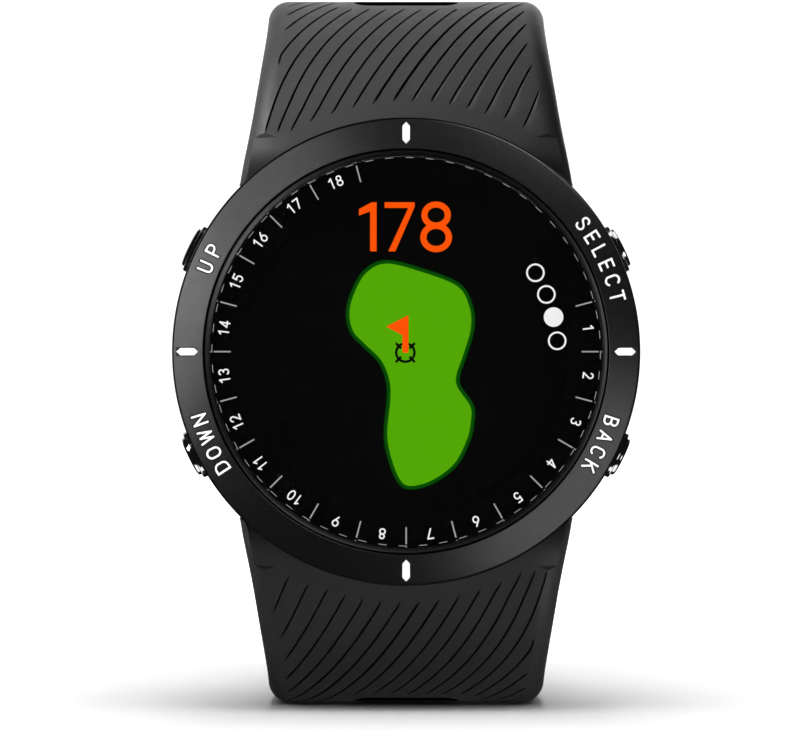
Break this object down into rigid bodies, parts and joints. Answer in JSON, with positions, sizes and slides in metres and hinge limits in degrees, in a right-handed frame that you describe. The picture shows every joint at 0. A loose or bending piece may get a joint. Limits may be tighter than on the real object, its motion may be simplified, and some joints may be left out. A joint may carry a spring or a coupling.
{
  "type": "golf gps watch",
  "caption": "Round golf GPS wristwatch: raised bezel, colour display, push buttons at the sides, screwed back with charging contacts, and a hinged two-part strap with buckle.",
  "frame": {"origin": "middle of the case back's outer face, which lies on the wrist", "axes": "+Y out of the case back towards the wrist, so the dial faces -Y; +Z towards 12 o'clock; +X towards 3 o'clock"},
  "size_m": [0.044, 0.0731, 0.0678],
  "materials": {
    "case_plastic": "fine matte black",
    "bezel_ceramic": "satin black, finely grained",
    "marker_white": "white enamel",
    "lens_glass": "clear, polished",
    "dial_black": "printed matte black",
    "display": "dark reflective display",
    "seal_rubber": "matte",
    "board_green": "solder mask",
    "shield_metal": "tinned",
    "battery_foil": "foil pouch",
    "contact_gold": "gold plated",
    "button_metal": "polished, black plated",
    "steel": "turned",
    "back_metal": "blasted",
    "strap_silicone": "matte silicone",
    "buckle_metal": "black plated"
  },
  "bodies": {
    "head": {"case_body": "case_plastic", "bezel": "bezel_ceramic", "marker_12": "marker_white", "marker_3": "marker_white", "marker_6": "marker_white", "marker_9": "marker_white", "lens": "lens_glass", "lens_ring": "case_plastic", "number_ring": "dial_black", "lens_gasket": "seal_rubber", "display_panel": "display", "display_bracket": "case_plastic", "main_board": "board_green", "gps_module": "shield_metal", "radio_module": "shield_metal", "gps_antenna": "contact_gold", "battery": "battery_foil", "battery_connector": "marker_white", "vibration_motor": "shield_metal", "switch_select": "case_plastic", "switch_back": "case_plastic", "switch_up": "case_plastic", "switch_down": "case_plastic", "button_seal_select": "seal_rubber", "button_seal_back": "seal_rubber", "button_seal_up": "seal_rubber", "button_seal_down": "seal_rubber", "case_back": "back_metal", "back_seal": "seal_rubber", "back_screw_1": "steel", "back_screw_2": "steel", "back_screw_3": "steel", "back_screw_4": "steel", "charge_contact_1": "contact_gold", "charge_contact_2": "contact_gold", "charge_contact_3": "contact_gold", "charge_contact_4": "contact_gold", "spring_bar_upper": "steel", "spring_bar_lower": "steel"},
    "select": {"button_select": "button_metal", "button_clip_select": "steel"},
    "back": {"button_back": "button_metal", "button_clip_back": "steel"},
    "up": {"button_up": "button_metal", "button_clip_up": "steel"},
    "down": {"button_down": "button_metal", "button_clip_down": "steel"},
    "tip_upper_left": {"bar_tip_upper_left": "steel"},
    "tip_upper_right": {"bar_tip_upper_right": "steel"},
    "tip_lower_left": {"bar_tip_lower_left": "steel"},
    "tip_lower_right": {"bar_tip_lower_right": "steel"},
    "upper_strap": {"strap_upper": "strap_silicone", "keeper_fixed": "strap_silicone"},
    "lower_strap": {"strap_lower": "strap_silicone"},
    "sliding_keeper": {"keeper_sliding": "strap_silicone"},
    "buckle": {"buckle_frame": "buckle_metal", "buckle_pin": "steel"},
    "tongue": {"buckle_tongue": "buckle_metal"}
  },
  "joints": [
    {"name": "select_press", "type": "slide", "parent": "head", "child": "select", "axis": [-0.8988, 0, -0.4384], "range_m": [0, 0.0007], "stiffness_N_per_m": 400, "springref_m": -0.001},
    {"name": "back_press", "type": "slide", "parent": "head", "child": "back", "axis": [-0.8988, 0, 0.4384], "range_m": [0, 0.0007], "stiffness_N_per_m": 400, "springref_m": -0.001},
    {"name": "up_press", "type": "slide", "parent": "head", "child": "up", "axis": [0.8988, 0, -0.4384], "range_m": [0, 0.0007], "stiffness_N_per_m": 400, "springref_m": -0.001},
    {"name": "down_press", "type": "slide", "parent": "head", "child": "down", "axis": [0.8988, 0, 0.4384], "range_m": [0, 0.0007], "stiffness_N_per_m": 400, "springref_m": -0.001},
    {"name": "tip_upper_left_slide", "type": "slide", "parent": "head", "child": "tip_upper_left", "axis": [1, 0, 0], "range_m": [0, 0.00295], "stiffness_N_per_m": 150, "springref_m": -0.002},
    {"name": "tip_upper_right_slide", "type": "slide", "parent": "head", "child": "tip_upper_right", "axis": [-1, 0, 0], "range_m": [0, 0.00295], "stiffness_N_per_m": 150, "springref_m": -0.002},
    {"name": "tip_lower_left_slide", "type": "slide", "parent": "head", "child": "tip_lower_left", "axis": [1, 0, 0], "range_m": [0, 0.00295], "stiffness_N_per_m": 150, "springref_m": -0.002},
    {"name": "tip_lower_right_slide", "type": "slide", "parent": "head", "child": "tip_lower_right", "axis": [-1, 0, 0], "range_m": [0, 0.00295], "stiffness_N_per_m": 150, "springref_m": -0.002},
    {"name": "upper_strap_hinge", "type": "hinge", "parent": "head", "child": "upper_strap", "pos_m": [0, -0.0052, 0.0187], "axis": [1, 0, 0], "range_deg": [-12, 20]},
    {"name": "lower_strap_hinge", "type": "hinge", "parent": "head", "child": "lower_strap", "pos_m": [0, -0.0052, -0.0187], "axis": [1, 0, 0], "range_deg": [-20, 4]},
    {"name": "keeper_slide", "type": "hinge", "parent": "upper_strap", "child": "sliding_keeper", "pos_m": [0, 0.02484, 0.01491], "axis": [1, 0, 0], "range_deg": [-12, 16]},
    {"name": "buckle_hinge", "type": "hinge", "parent": "upper_strap", "child": "buckle", "pos_m": [0, 0.04234, 0.00591], "axis": [1, 0, 0], "range_deg": [-60, 30]},
    {"name": "tongue_hinge", "type": "hinge", "parent": "buckle", "child": "tongue", "pos_m": [0, 0.04234, 0.00591], "axis": [1, 0, 0], "range_deg": [0, 72]}
  ]
}
